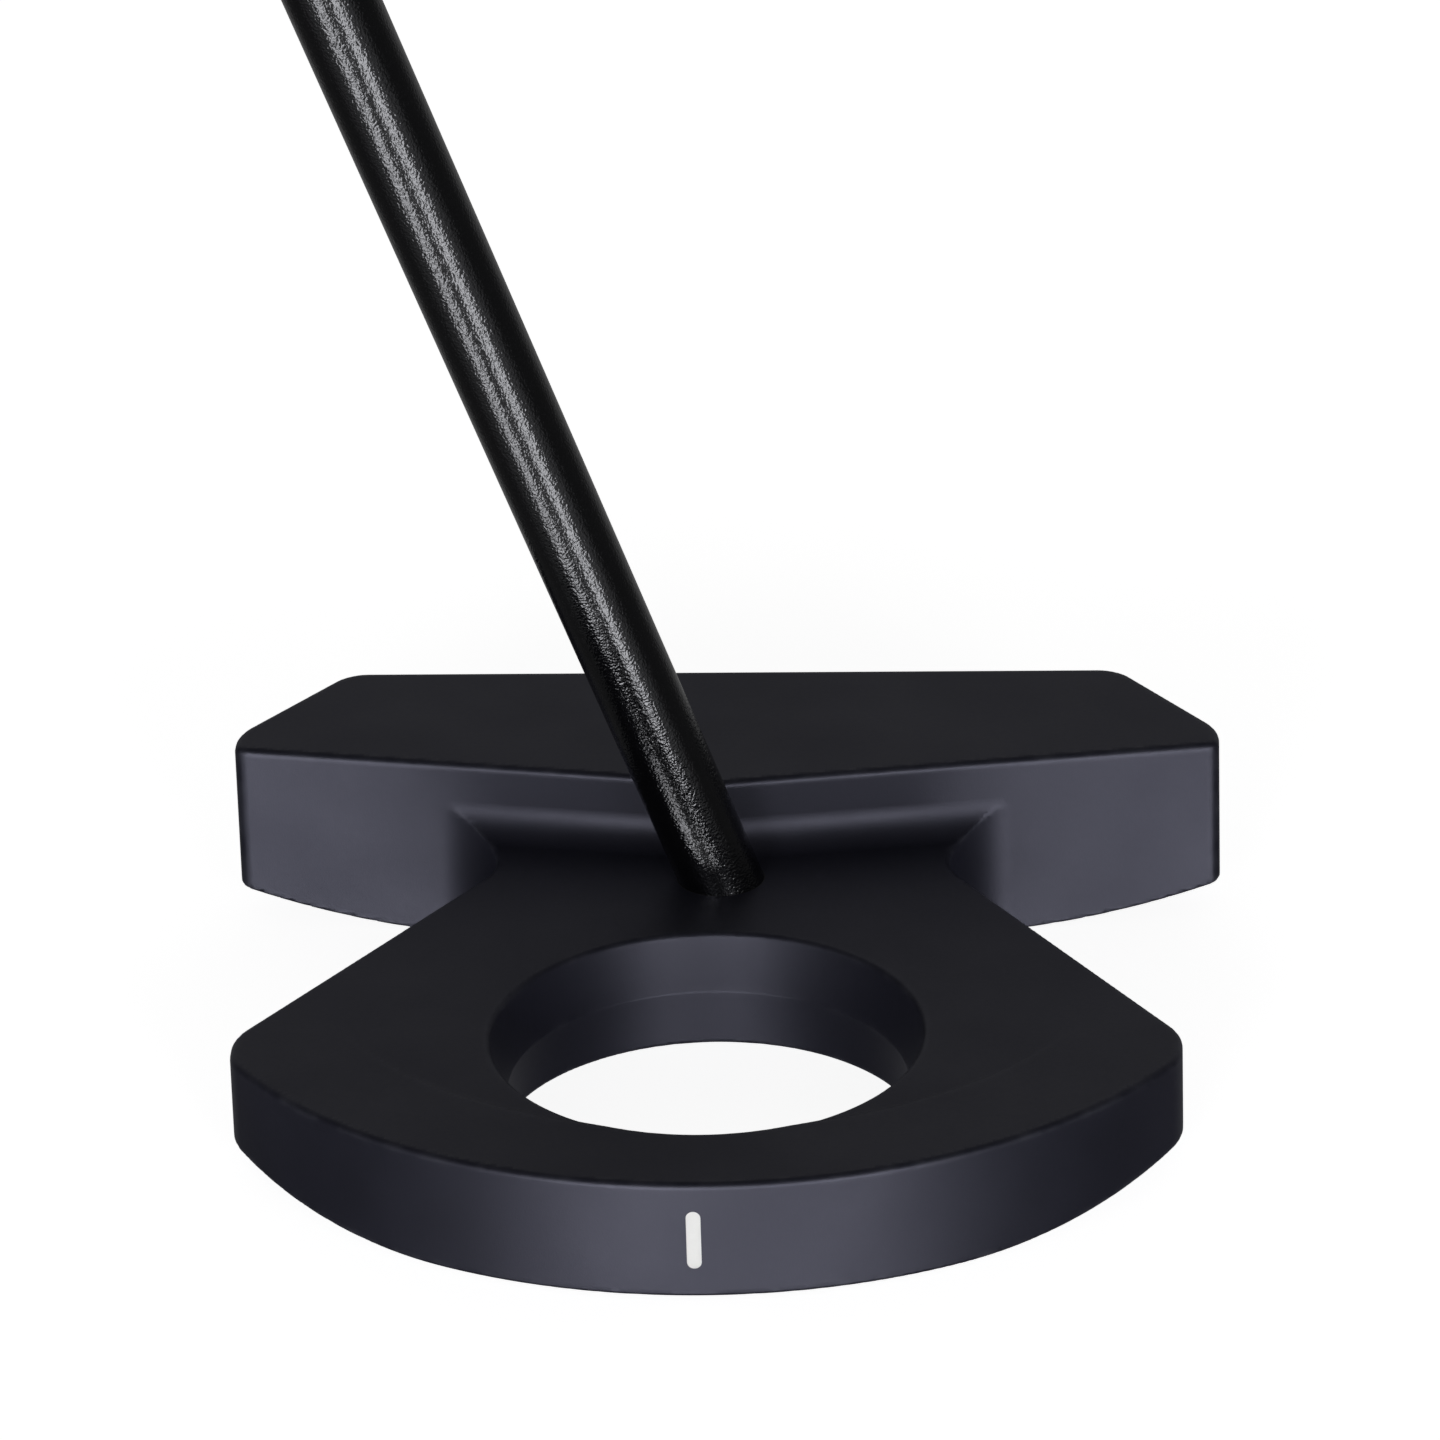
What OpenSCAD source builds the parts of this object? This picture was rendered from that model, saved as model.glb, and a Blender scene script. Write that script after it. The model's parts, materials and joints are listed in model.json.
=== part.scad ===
// Centre-shafted mallet putter: a wide bar behind the face, a lower rear body with a
// rounded back and a through hole, a leaning shaft and a soft grip.
// Origin: on the sole, straight below the point where the shaft axis enters the head.
// +Y is the target line (out of the face), +X is the toe, +Z is up.

/* [Bar] */
// Width of the head from heel to toe
bar_width = 114; // [112:1:116]
// Height of the bar above the sole
bar_height = 22.2; // [21:0.1:23]
// Distance from the shaft entry forward to the top edge of the face
bar_face_y = 37.2; // [36:0.1:38]
// Width of the face between the two end bevels
bar_face_width = 90.5; // [88:0.5:93]
// Front-to-back length of each end bevel
bar_bevel_depth = 16; // [15:0.5:17]
// Front-to-back length of each flat end
bar_end_depth = 4.3; // [4.2:0.1:5]
// How far the V of the rear wall stands behind its two ends
bar_vee = 9.3; // [8.5:0.1:10]
// Loft of the face in degrees
face_loft = 2.5; // [1.5:0.5:3.5]
// Rounding where the face meets the end bevels
front_corner_r = 5; // [3:0.5:6]
// Rounding where the bevels meet the flat ends
bevel_corner_r = 7; // [5:0.5:8]
// Rounding where the flat ends meet the rear wall
rear_corner_r = 1.4; // [1:0.1:1.8]

/* [Rear body] */
// Height of the rear body's top above the sole
deck_height = 13.8; // [13:0.1:14.5]
// Radius of the rounded back
back_r = 61.2; // [60:0.2:62]
// Distance from the shaft entry back to the centre of that radius
back_centre = 12.9; // [12:0.1:14]
// Distance from the shaft entry forward to where the two neck sides would meet
neck_apex_y = 41.8; // [41:0.1:42.5]
// How far the neck sides run back for each millimetre sideways
neck_slope = 1.52; // [1.48:0.01:1.56]
// Width of the rear body between its two flat ends
wing_width = 105.4; // [104:0.2:106]
// Rounding of the rear body's outer corners
wing_corner_r = 8; // [6:0.5:8]
// Fillet in the notches between the bar and the rear body
notch_r = 8.4; // [7:0.2:9]
// Cove along the foot of the bar's rear wall
cove_r = 3.7; // [3:0.1:4]
// Extra height of the deck at the very back
deck_rise = 0.68; // [0.4:0.01:0.8]
// Distance from the shaft entry back to where the deck starts to rise
deck_crease = 39.3; // [38:0.1:41]
// Radius of the flat area milled into the rising deck
deck_flat_r = 47.4; // [46:0.2:49]
// Width of the ramp round that flat area
deck_ramp = 1.6; // [1.2:0.1:2.4]

/* [Hole] */
// Distance from the shaft entry back to the centre of the hole
hole_centre = 37.9; // [37:0.1:39]
// Radius of the hole at the deck
hole_deck_r = 24.1; // [23.5:0.1:24.5]
// Radius of the hole at its waist
hole_waist_r = 22.3; // [21.8:0.1:22.8]
// Height of the waist above the sole
hole_waist_z = 7.2; // [6.5:0.1:8]
// Radius of the hole at the sole
hole_sole_r = 23.4; // [23:0.1:24]

/* [Sole] */
// Width of the flat of the sole, heel to toe
sole_flat = 56; // [52:1:60]
// Radius of the sole's curve from that flat up to the ends of the bar
sole_curve_r = 100; // [90:5:120]
// Height of the sole at the very back
sole_back_rise = 0.6; // [0.4:0.1:0.8]
// Distance from the shaft entry back to where the sole starts to rise
sole_back_start = 20; // [15:1:25]

/* [Face insert] */
// Width of the insert, heel to toe
insert_width = 76; // [70:1:78]
// Height of the insert
insert_height = 13.6; // [12:0.2:14]
// Thickness of the insert
insert_thickness = 4; // [3:0.25:5]
// Corner radius of the insert
insert_corner_r = 3; // [2:0.5:5]
// Thickness of the bonding tape behind the insert
insert_tape_t = 0.25; // [0.2:0.05:0.4]

/* [Weights] */
// Radius of each weight plug
weight_r = 5.5; // [5:0.1:6]
// Clearance round each weight plug
weight_gap = 0.1; // [0.05:0.05:0.15]
// Chamfer on the rim of each weight plug
weight_chamfer = 0.5; // [0.3:0.1:0.8]
// Width across flats of the socket in each weight plug
weight_socket = 5; // [4:0.5:6]
// Depth of that socket
weight_socket_depth = 4; // [3:0.5:5]

/* [Sight mark] */
// Width of the white line on the back of the head
mark_width = 1.6; // [1:0.1:2]
// Height of the white line
mark_height = 7; // [5:0.5:8]
// Height of the middle of the line above the sole
mark_z = 7.6; // [7:0.1:8]
// Depth of the engraving that the line fills
mark_depth = 0.4; // [0.3:0.1:0.6]

/* [Shaft] */
// Lie angle between the shaft and the ground in degrees
shaft_lie = 69.8; // [69:0.1:71]
// Length of the shaft
shaft_length = 830; // [780:5:860]
// Diameter at the tip, with its coat of paint
shaft_tip_d = 9.2; // [9:0.01:9.25]
// Growth in diameter for each millimetre of length
shaft_taper = 0.008; // [0.007:0.0001:0.008]
// Wall thickness at the tip
shaft_tip_wall = 0.7; // [0.6:0.05:1]
// Wall thickness at the butt
shaft_butt_wall = 0.38; // [0.35:0.01:0.6]
// Depth of the shaft bore below the deck, along its axis
shaft_bore_depth = 11.2; // [10.5:0.1:11.5]
// Radius of the shaft bore
shaft_bore_r = 4.75; // [4.72:0.01:4.8]
// Thickness of the adhesive under the tip
shaft_bond_floor = 0.3; // [0.2:0.1:0.4]
// Length of the plug in the tip
tip_plug_length = 9; // [7:1:10]

/* [Grip] */
// Length of the grip without its collar and cap
grip_length = 260; // [240:5:280]
// Width of the grip at the mouth, across the target line
grip_mouth_width = 22; // [21:0.5:24]
// Width of the grip at the shoulder
grip_shoulder_width = 27; // [26:0.5:29]
// Width of the grip at the butt
grip_butt_width = 31; // [30:0.5:33]
// Distance of the shoulder from the mouth
grip_shoulder_at = 45; // [35:5:60]
// Depth of the grip as a share of its width
grip_depth_share = 0.92; // [0.88:0.01:0.96]
// Corner radius beside the flat front of the grip
grip_corner_r = 5; // [4:0.5:6]
// Thickness of the outer skin
grip_skin_t = 1.5; // [1:0.1:2]
// Thickness of the tape on the shaft
grip_tape_t = 0.3; // [0.2:0.05:0.4]
// Length of the rubber collar at the mouth
collar_length = 7; // [5:1:9]
// Thickness of the butt cap
cap_thickness = 3.5; // [3:0.5:5]
// How far the cap's top is drawn in from its rim
cap_edge = 2; // [1:0.5:3]
// Length of the cap's stem inside the shaft
cap_stem_length = 14; // [10:1:18]
// Radius of the vent hole in the cap
cap_vent_r = 1.2; // [1:0.1:1.5]

/* [Hidden] */
$fn = 120;

over = 1;             // how far a cutting tool runs past the surface that it cuts
far = 90;             // a length beyond every edge of the head
sole_curve_steps = 24; // flats that follow the curve at each end of the sole
blend_over = 0.02;    // rounds cross their neighbours by this much, so none is tangent
hull_fn = 32;
slice_t = 0.05;

bar_end_y = bar_face_y - bar_bevel_depth - bar_end_depth;
bar_vee_y = bar_end_y - bar_vee;
wall_angle = atan(bar_vee / (bar_width / 2));

back_y = -(back_centre + back_r);
sole_back_slope = sole_back_rise / (-back_y - sole_back_start);

insert_z = -bar_height / 2;
ramp_height = 2 * deck_rise;

// Each weight plug on the toe side: x, y, height of its lower face, height of its upper face
WEIGHTS = [
    [44.5, 24, 3.4, 15],
    [27.5, 23, 0.8, 15],
    [40, -39, 2.6, 10.6],
    [29, -54.5, 1.2, 10.6]
];

shaft_tip_s = -shaft_bore_depth + shaft_bond_floor;
shaft_butt_s = shaft_tip_s + shaft_length;
grip_top_s = shaft_butt_s;
grip_mouth_s = grip_top_s - grip_length;

function unit(v) = v / norm(v);
function shaft_r(s) = (shaft_tip_d + shaft_taper * (s - shaft_tip_s)) / 2;
function shaft_wall(s) =
    shaft_tip_wall + (shaft_butt_wall - shaft_tip_wall) * (s - shaft_tip_s) / shaft_length;
// Width of the grip at distance t from its mouth
function grip_width(t) =
    t < grip_shoulder_at
        ? grip_mouth_width + (grip_shoulder_width - grip_mouth_width) * t / grip_shoulder_at
        : grip_shoulder_width
            + (grip_butt_width - grip_shoulder_width) * (t - grip_shoulder_at)
                / (grip_length - grip_shoulder_at);

// ---------- shared shapes ----------

// The sliver between a round corner and the sharp one: centre c, radius r, and the
// directions n1 and n2 from the centre to the two tangent points
module corner_sliver(c, n1, n2, r) {
    reach = 1.2 * r;
    difference() {
        polygon([c, c + reach * n1, c + reach * (n1 + n2) / (1 + n1 * n2), c + reach * n2]);
        translate(c) circle(r + blend_over);
    }
}

// The same at vertex v of a straight outline whose neighbours are a and b
module vertex_sliver(a, v, b, r) {
    u1 = unit(a - v);
    u2 = unit(b - v);
    mid = unit(u1 + u2);
    setback = r / sqrt(1 - pow(u1 * mid, 2));
    c = v + setback * mid;
    n1 = unit(v + u1 * (setback * (u1 * mid)) - c);
    n2 = unit(v + u2 * (setback * (u2 * mid)) - c);
    corner_sliver(c, n1, n2, r);
}

// A straight outline with the corners listed in rounds, each [vertex number, radius], rounded
module rounded_outline(points, rounds) {
    n = len(points);
    difference() {
        polygon(points);
        for (c = rounds) {
            vertex_sliver(points[(c[0] + n - 1) % n], points[c[0]], points[(c[0] + 1) % n], c[1]);
        }
    }
}

// Both sides of a shape that is modelled on the toe side
module both_sides() {
    children();
    mirror([1, 0, 0]) children();
}

// The frame of the face: +Y out of the face, Z = 0 at its top edge
module on_face() {
    translate([0, bar_face_y, bar_height]) rotate([face_loft, 0, 0]) children();
}

// The frame of the shaft: +Z up the shaft, Z = 0 where its axis meets the deck
module along_shaft(s = 0) {
    translate([0, 0, deck_height]) rotate([0, shaft_lie - 90, 0]) translate([0, 0, s]) children();
}

// ---------- head ----------

module bar_front_outline() {
    half = bar_width / 2;
    face_half = bar_face_width / 2;
    rounded_outline(
        [
            [-half, -far], [half, -far], [half, -bar_bevel_depth],
            [face_half, 0], [-face_half, 0], [-half, -bar_bevel_depth]
        ],
        [[2, bevel_corner_r], [3, front_corner_r], [4, front_corner_r], [5, bevel_corner_r]]
    );
}

module bar_rear_outline() {
    half = bar_width / 2;
    rounded_outline(
        [[-half, bar_end_y], [0, bar_vee_y], [half, bar_end_y], [half, far], [-half, far]],
        [[0, rear_corner_r], [2, rear_corner_r]]
    );
}

module bar() {
    intersection() {
        linear_extrude(bar_height) bar_rear_outline();
        on_face() translate([0, 0, -bar_height - 2 * over])
            linear_extrude(bar_height + 4 * over) bar_front_outline();
    }
}

module wing_outline() {
    half = wing_width / 2;
    side_y = neck_apex_y - half * neck_slope;
    back_c = [0, -back_centre];
    // Centre of the corner where a flat end meets the rounded back
    corner_x = half - wing_corner_r;
    corner_run = sqrt(pow(back_r - wing_corner_r, 2) - pow(corner_x, 2));
    corner_c = back_c + [corner_x, -corner_run];
    difference() {
        intersection() {
            polygon([[0, neck_apex_y], [half, side_y], [half, -far], [-half, -far], [-half, side_y]]);
            translate(back_c) circle(back_r, $fn = 360);
            translate([-far, -far]) square([2 * far, far + bar_end_y]);
        }
        both_sides() {
            vertex_sliver([0, neck_apex_y], [half, side_y], [half, -far], wing_corner_r);
            corner_sliver(corner_c, [1, 0], unit(corner_c - back_c), wing_corner_r);
        }
    }
}

module notch_fillet_outline() {
    // Where the neck side meets the bar's rear wall
    x = (neck_apex_y - bar_vee_y) / (neck_slope + tan(wall_angle));
    y = neck_apex_y - neck_slope * x;
    vertex_sliver([x + 20, y + 20 * tan(wall_angle)], [x, y], [x + 20, y - 20 * neck_slope], notch_r);
}

module neck_outline() {
    wing_outline();
    both_sides() notch_fillet_outline();
}

module cove_section() {
    difference() {
        translate([-cove_r, -over]) square([cove_r + over, cove_r + over]);
        translate([-cove_r, cove_r]) circle(cove_r + blend_over);
    }
}

module cove() {
    intersection() {
        both_sides() intersection() {
            translate([0, bar_vee_y, deck_height]) rotate([0, 0, wall_angle]) translate([-2, 0, 0])
                rotate([90, 0, 90]) linear_extrude(bar_width / 2) cove_section();
            translate([0, -far, 0]) cube([far, 2 * far, far]);
        }
        linear_extrude(bar_height) neck_outline();
    }
}

// Everything above the deck behind the bar, including the ramped flat area
module deck_cut() {
    top = bar_height + over;
    rise = deck_rise / (-back_y - deck_crease);
    rotate([90, 0, 90]) translate([0, 0, -far]) linear_extrude(2 * far) polygon([
        [bar_end_y + over, deck_height],
        [-deck_crease, deck_height],
        [-far, deck_height + rise * (far - deck_crease)],
        [-far, top],
        [bar_end_y + over, top]
    ]);
    translate([0, -back_centre, deck_height])
        cylinder(h = ramp_height, r1 = deck_flat_r, r2 = deck_flat_r + 2 * deck_ramp, $fn = 360);
}

module wing() {
    difference() {
        linear_extrude(deck_height + 2 * deck_rise) neck_outline();
        deck_cut();
    }
}

module through_hole() {
    translate([0, -hole_centre, 0]) {
        slope_up = (hole_deck_r - hole_waist_r) / (deck_height - hole_waist_z);
        slope_down = (hole_sole_r - hole_waist_r) / hole_waist_z;
        translate([0, 0, hole_waist_z]) cylinder(
            h = deck_height - hole_waist_z + 2,
            r1 = hole_waist_r,
            r2 = hole_deck_r + 2 * slope_up
        );
        translate([0, 0, -over]) cylinder(
            h = hole_waist_z + over,
            r1 = hole_sole_r + over * slope_down,
            r2 = hole_waist_r
        );
    }
}

// The space above the sole, seen from behind, up to the height top
module above_sole_outline(top) {
    start_x = sole_flat / 2;
    run = bar_width / 2 + over - start_x;
    curve = [
        for (k = [0 : sole_curve_steps])
            let (x = run * k / sole_curve_steps)
            [start_x + x, sole_curve_r - sqrt(pow(sole_curve_r, 2) - x * x)]
    ];
    half = concat([[0, 0]], curve, [[start_x + run, top], [0, top]]);
    polygon(half);
    mirror([1, 0]) polygon(half);
}

// Everything above the sole: level from the front to where the sole starts to rise
module above_sole() {
    run = -back_y - sole_back_start + over;
    rotate([90, 0, 0]) hull() {
        translate([0, 0, -far]) linear_extrude(far + sole_back_start) above_sole_outline(2 * bar_height);
        translate([0, sole_back_slope * (run + over), sole_back_start + run])
            linear_extrude(over) above_sole_outline(bar_height);
    }
}

module insert_outline() {
    half = insert_width / 2;
    half_h = insert_height / 2;
    rounded_outline(
        [[-half, -half_h], [half, -half_h], [half, half_h], [-half, half_h]],
        [for (i = [0:3]) [i, insert_corner_r]]
    );
}

// A slab of the insert's outline, from depth back of the face to front in front of it
module insert_slab(back, front) {
    on_face() translate([0, front, insert_z]) rotate([90, 0, 0])
        linear_extrude(back + front) insert_outline();
}

module shaft_bore(extra = 0) {
    along_shaft(-shaft_bore_depth) cylinder(h = shaft_bore_depth + extra, r = shaft_bore_r);
}

module mark_slot(back_over) {
    intersection() {
        translate([-mark_width / 2, back_y - over, mark_z - mark_height / 2])
            cube([mark_width, over + 2 * mark_depth, mark_height]);
        translate([0, -back_centre, 0]) difference() {
            cylinder(h = deck_height, r = back_r + back_over, $fn = 360);
            translate([0, 0, -over])
                cylinder(h = deck_height + 2 * over, r = back_r - mark_depth, $fn = 360);
        }
    }
}

module weight_pockets() {
    for (w = WEIGHTS) {
        translate([w[0], w[1], -over]) cylinder(h = w[3] + over, r = weight_r + weight_gap);
    }
}

module head_body() {
    color([0.13, 0.13, 0.15]) difference() {
        intersection() {
            union() {
                bar();
                wing();
                cove();
            }
            above_sole();
        }
        through_hole();
        insert_slab(insert_thickness + insert_tape_t, over);
        shaft_bore(2 * cove_r);
        both_sides() weight_pockets();
        mark_slot(over);
    }
}

module face_insert() {
    color([0.2, 0.2, 0.22]) insert_slab(insert_thickness, 0);
}

module face_insert_tape() {
    color([0.2, 0.2, 0.21]) translate([0, -insert_thickness, 0]) insert_slab(insert_tape_t, 0);
}

module sight_mark() {
    color("white") mark_slot(0);
}

module weight_plug(w) {
    height = w[3] - w[2];
    color([0.45, 0.45, 0.47]) translate([w[0], w[1], w[2]]) difference() {
        union() {
            cylinder(h = weight_chamfer, r1 = weight_r - weight_chamfer, r2 = weight_r);
            translate([0, 0, weight_chamfer]) cylinder(h = height - weight_chamfer, r = weight_r);
        }
        translate([0, 0, -over])
            cylinder(h = weight_socket_depth + over, d = weight_socket / cos(30), $fn = 6);
    }
}

module weight_toe(i) {
    weight_plug(WEIGHTS[i - 1]);
}

module weight_heel(i) {
    mirror([1, 0, 0]) weight_plug(WEIGHTS[i - 1]);
}

// ---------- shaft ----------

// A cone that follows the shaft's outer surface from s0 to s1, grown by extra
module shaft_cone(s0, s1, extra = 0) {
    along_shaft(s0) cylinder(h = s1 - s0, r1 = shaft_r(s0) + extra, r2 = shaft_r(s1) + extra);
}

// The shaft's hollow from s0 to s1
module shaft_hollow(s0, s1) {
    along_shaft(s0)
        cylinder(h = s1 - s0, r1 = shaft_r(s0) - shaft_wall(s0), r2 = shaft_r(s1) - shaft_wall(s1));
}

module shaft() {
    color([0.06, 0.06, 0.065]) difference() {
        shaft_cone(shaft_tip_s, shaft_butt_s);
        shaft_hollow(shaft_tip_s - over, shaft_butt_s + over);
    }
}

module shaft_bond() {
    color([0.2, 0.2, 0.21]) difference() {
        intersection() {
            shaft_bore(2 * cove_r);
            translate([-far, -far, 0]) cube([2 * far, 2 * far, deck_height]);
        }
        shaft_cone(shaft_tip_s, 3 * cove_r);
    }
}

module shaft_tip_plug() {
    color([0.7, 0.55, 0.35]) shaft_hollow(shaft_tip_s, shaft_tip_s + tip_plug_length);
}

// ---------- grip ----------

// Cross-section of the grip, shrunk by inset: flat on its +X side, round on its -X side
module grip_section(width, inset = 0) {
    depth = width * grip_depth_share;
    corner = grip_corner_r - inset;
    back = width / 2 - inset;
    hull() {
        for (side = [-1, 1]) {
            translate([depth / 2 - grip_corner_r, side * (width / 2 - grip_corner_r)])
                circle(corner, $fn = hull_fn);
        }
        translate([(width - depth) / 2, 0]) circle(back, $fn = 2 * hull_fn);
    }
}

module grip_slice(s, width, inset = 0) {
    along_shaft(s) linear_extrude(slice_t) grip_section(width, inset);
}

// The whole grip's form, shrunk by inset and run on past both of its ends by extra
module grip_form(inset = 0, extra = 0) {
    hull() {
        grip_slice(grip_mouth_s - extra, grip_width(-extra), inset);
        grip_slice(grip_mouth_s + grip_shoulder_at, grip_shoulder_width, inset);
        grip_slice(grip_top_s + extra - slice_t, grip_width(grip_length + extra), inset);
    }
}

module grip_tape() {
    color([0.85, 0.85, 0.8]) difference() {
        shaft_cone(grip_mouth_s, grip_top_s, grip_tape_t);
        shaft_cone(grip_mouth_s - over, grip_top_s + over);
    }
}

module grip_core() {
    color([0.3, 0.3, 0.32]) difference() {
        grip_form(grip_skin_t);
        shaft_cone(grip_mouth_s - over, grip_top_s + over, grip_tape_t);
    }
}

module grip_skin() {
    color([0.08, 0.08, 0.085]) difference() {
        grip_form();
        grip_form(grip_skin_t, over);
    }
}

module grip_collar() {
    color([0.05, 0.05, 0.05]) difference() {
        hull() {
            grip_slice(grip_mouth_s - slice_t, grip_mouth_width);
            along_shaft(grip_mouth_s - collar_length)
                cylinder(h = slice_t, r = shaft_r(grip_mouth_s) + 1.5, $fn = 2 * hull_fn);
        }
        shaft_cone(grip_mouth_s - 2 * collar_length, grip_mouth_s + over);
    }
}

module grip_cap() {
    stem_s = grip_top_s - cap_stem_length;
    stem_r = shaft_r(stem_s) - shaft_wall(stem_s) - 0.1;
    color([0.05, 0.05, 0.05]) difference() {
        union() {
            hull() {
                grip_slice(grip_top_s, grip_butt_width);
                grip_slice(grip_top_s + cap_thickness - slice_t, grip_butt_width, cap_edge);
            }
            along_shaft(stem_s) cylinder(h = cap_stem_length + over, r = stem_r);
        }
        along_shaft(stem_s - over)
            cylinder(h = cap_stem_length + cap_thickness + 2 * over, r = cap_vent_r);
    }
}

head_body();
face_insert();
face_insert_tape();
sight_mark();
weight_heel(1);  // weight_heel_1
weight_heel(2);  // weight_heel_2
weight_heel(3);  // weight_heel_3
weight_heel(4);  // weight_heel_4
weight_toe(1);  // weight_toe_1
weight_toe(2);  // weight_toe_2
weight_toe(3);  // weight_toe_3
weight_toe(4);  // weight_toe_4
shaft();
shaft_bond();
shaft_tip_plug();
grip_tape();
grip_core();
grip_skin();
grip_collar();
grip_cap();
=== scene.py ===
"""Looks of the centre-shafted mallet putter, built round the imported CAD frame.

Lengths are in millimetres, as in the part's source, and build() turns them into the
frame's metres. Distances are signed: negative inside the solid.
"""

import json
import math
from itertools import product

import bpy
import numpy as np
from mathutils import Matrix


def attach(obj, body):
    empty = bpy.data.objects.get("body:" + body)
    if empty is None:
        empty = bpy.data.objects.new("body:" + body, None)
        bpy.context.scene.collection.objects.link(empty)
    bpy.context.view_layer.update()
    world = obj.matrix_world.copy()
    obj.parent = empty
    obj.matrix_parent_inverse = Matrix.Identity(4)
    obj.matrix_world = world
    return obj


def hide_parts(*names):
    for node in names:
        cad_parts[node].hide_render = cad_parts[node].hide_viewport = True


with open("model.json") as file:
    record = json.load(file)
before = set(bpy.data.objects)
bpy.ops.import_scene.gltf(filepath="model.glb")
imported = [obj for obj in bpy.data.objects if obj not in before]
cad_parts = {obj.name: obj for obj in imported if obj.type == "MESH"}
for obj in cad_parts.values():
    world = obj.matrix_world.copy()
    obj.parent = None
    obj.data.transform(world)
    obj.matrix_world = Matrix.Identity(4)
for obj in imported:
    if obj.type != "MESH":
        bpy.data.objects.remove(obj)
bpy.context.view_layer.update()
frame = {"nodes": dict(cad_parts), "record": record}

MM = 0.001

# Bar
BAR_HALF = 57.0
BAR_TOP = 22.2
FACE_Y = 37.2
FACE_HALF = 45.25
BEVEL_DEPTH = 16.0
END_DEPTH = 4.3
VEE = 9.3
LOFT = math.radians(2.5)
FRONT_CORNER_R = 5.0
BEVEL_CORNER_R = 7.0
REAR_CORNER_R = 1.4
# Rear body
DECK = 13.8
BACK_R = 61.2
BACK_CENTRE = 12.9
NECK_APEX_Y = 41.8
NECK_SLOPE = 1.52
WING_HALF = 52.7
WING_CORNER_R = 8.0
NOTCH_R = 8.4
NOTCH_END_X = 40.0
NECK_FRONT_Y = 25.0
COVE_R = 3.7
DECK_RISE = 0.68
DECK_CREASE = 39.3
FLAT_R = 47.4
RAMP_SLOPE = 0.425
# Hole: its centre lies behind the shaft entry, and each radius belongs to one height
HOLE_CENTRE = 37.9
HOLE_DECK_R = 24.1
HOLE_WAIST_R = 22.3
HOLE_WAIST_Z = 7.2
HOLE_SOLE_R = 23.4
# Sole
SOLE_FLAT_HALF = 28.0
SOLE_CURVE_R = 100.0
SOLE_BACK_RISE = 0.6
SOLE_BACK_START = 20.0
# Rounding of the machined edges
BAR_EDGE_R = 0.8
DECK_EDGE_R = 0.75
COVE_EDGE_R = 0.15
SOLE_EDGE_R = 0.5
HOLE_EDGE_R = 0.5
WAIST_EDGE_R = 0.15
CREASE_R = 0.06
# Face insert
INSERT_HALF = (38.0, 6.8)
INSERT_T = 4.0
INSERT_TAPE_T = 0.25
INSERT_CORNER_R = 3.0
INSERT_SEAM = 0.06
# Sight mark
MARK_HALF = (0.8, 3.5)
MARK_Z = 7.6
MARK_DEPTH = 0.4
# Weights: x, y, height of the lower face, height of the upper face, on the toe side
WEIGHTS = [
    (44.5, 24.0, 3.4, 15.0),
    (27.5, 23.0, 0.8, 15.0),
    (40.0, -39.0, 2.6, 10.6),
    (29.0, -54.5, 1.2, 10.6),
]
WEIGHT_R = 5.5
WEIGHT_GAP = 0.1
WEIGHT_CHAMFER = 0.5
SOCKET_FLAT = 5.0
SOCKET_DEPTH = 4.0
# Shaft: S counts along its axis from the deck
LEAN = math.radians(20.2)
BORE_R = 4.75
BORE_DEPTH = 11.2
SHAFT_TIP_S = -10.9
SHAFT_BUTT_S = 819.1
SHAFT_TIP_D = 9.2
SHAFT_TAPER = 0.008
SHAFT_WALLS = (0.7, 0.38)
# Grip
GRIP_MOUTH_S = 559.1
GRIP_WIDTHS = ((0.0, 22.0), (45.0, 27.0), (260.0, 31.0))
GRIP_DEPTH_SHARE = 0.92
GRIP_CORNER_R = 5.0
SKIN_T = 1.5
COLLAR_LENGTH = 7.0
CAP_T = 3.5
CAP_STEM = 14.0
CAP_VENT_R = 1.2
# The cap's side as (inset, height), its dish as (inset, depth) and its vent's rim as (overhang, depth)
CAP_SIDE = (
    (0.3, 0.1), (0.25, 0.25), (0.33, 0.5), (0.63, 1.0),
    (1.77, 3.0), (1.95, 3.25), (2.25, 3.42), (2.8, 3.5),
)
CAP_DISH = ((3.4, 0.02), (3.8, 0.25), (4.3, 0.45), (6, 0.5))
CAP_VENT_RIM = ((1.2, 0.5), (0.3, 0.52), (0, 0.8))


# ---------- signed distances of the head ----------


def meet(a, b, radius, cos=0.0):
    """What is inside both a and b, its edge rounded. cos is that of the angle between their normals."""
    u, v = a + radius, b + radius
    arc = np.sqrt(np.maximum(u * u + v * v - 2 * cos * u * v, 0) / (1 - cos * cos)) - radius
    return np.where((u > cos * v) & (v > cos * u), arc, np.maximum(a, b))


def join(a, b, radius, cos=0.0):
    """What is inside a or b, with a fillet where they meet."""
    return -meet(-a, -b, radius, cos)


def soft_max(a, b):
    """The larger of a and b, eased over where they are equal."""
    return (a + b + np.sqrt((a - b) ** 2 + CREASE_R**2)) / 2


def sole_height(x, y):
    """Height of the sole: flat, with ends that curve up and a raised back."""
    run = np.clip(x - SOLE_FLAT_HALF, 0, SOLE_CURVE_R / 2)
    ends = SOLE_CURVE_R - np.sqrt(SOLE_CURVE_R**2 - run**2)
    back_slope = SOLE_BACK_RISE / (BACK_CENTRE + BACK_R - SOLE_BACK_START)
    return ends + back_slope * np.maximum(-SOLE_BACK_START - y, 0)


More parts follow.
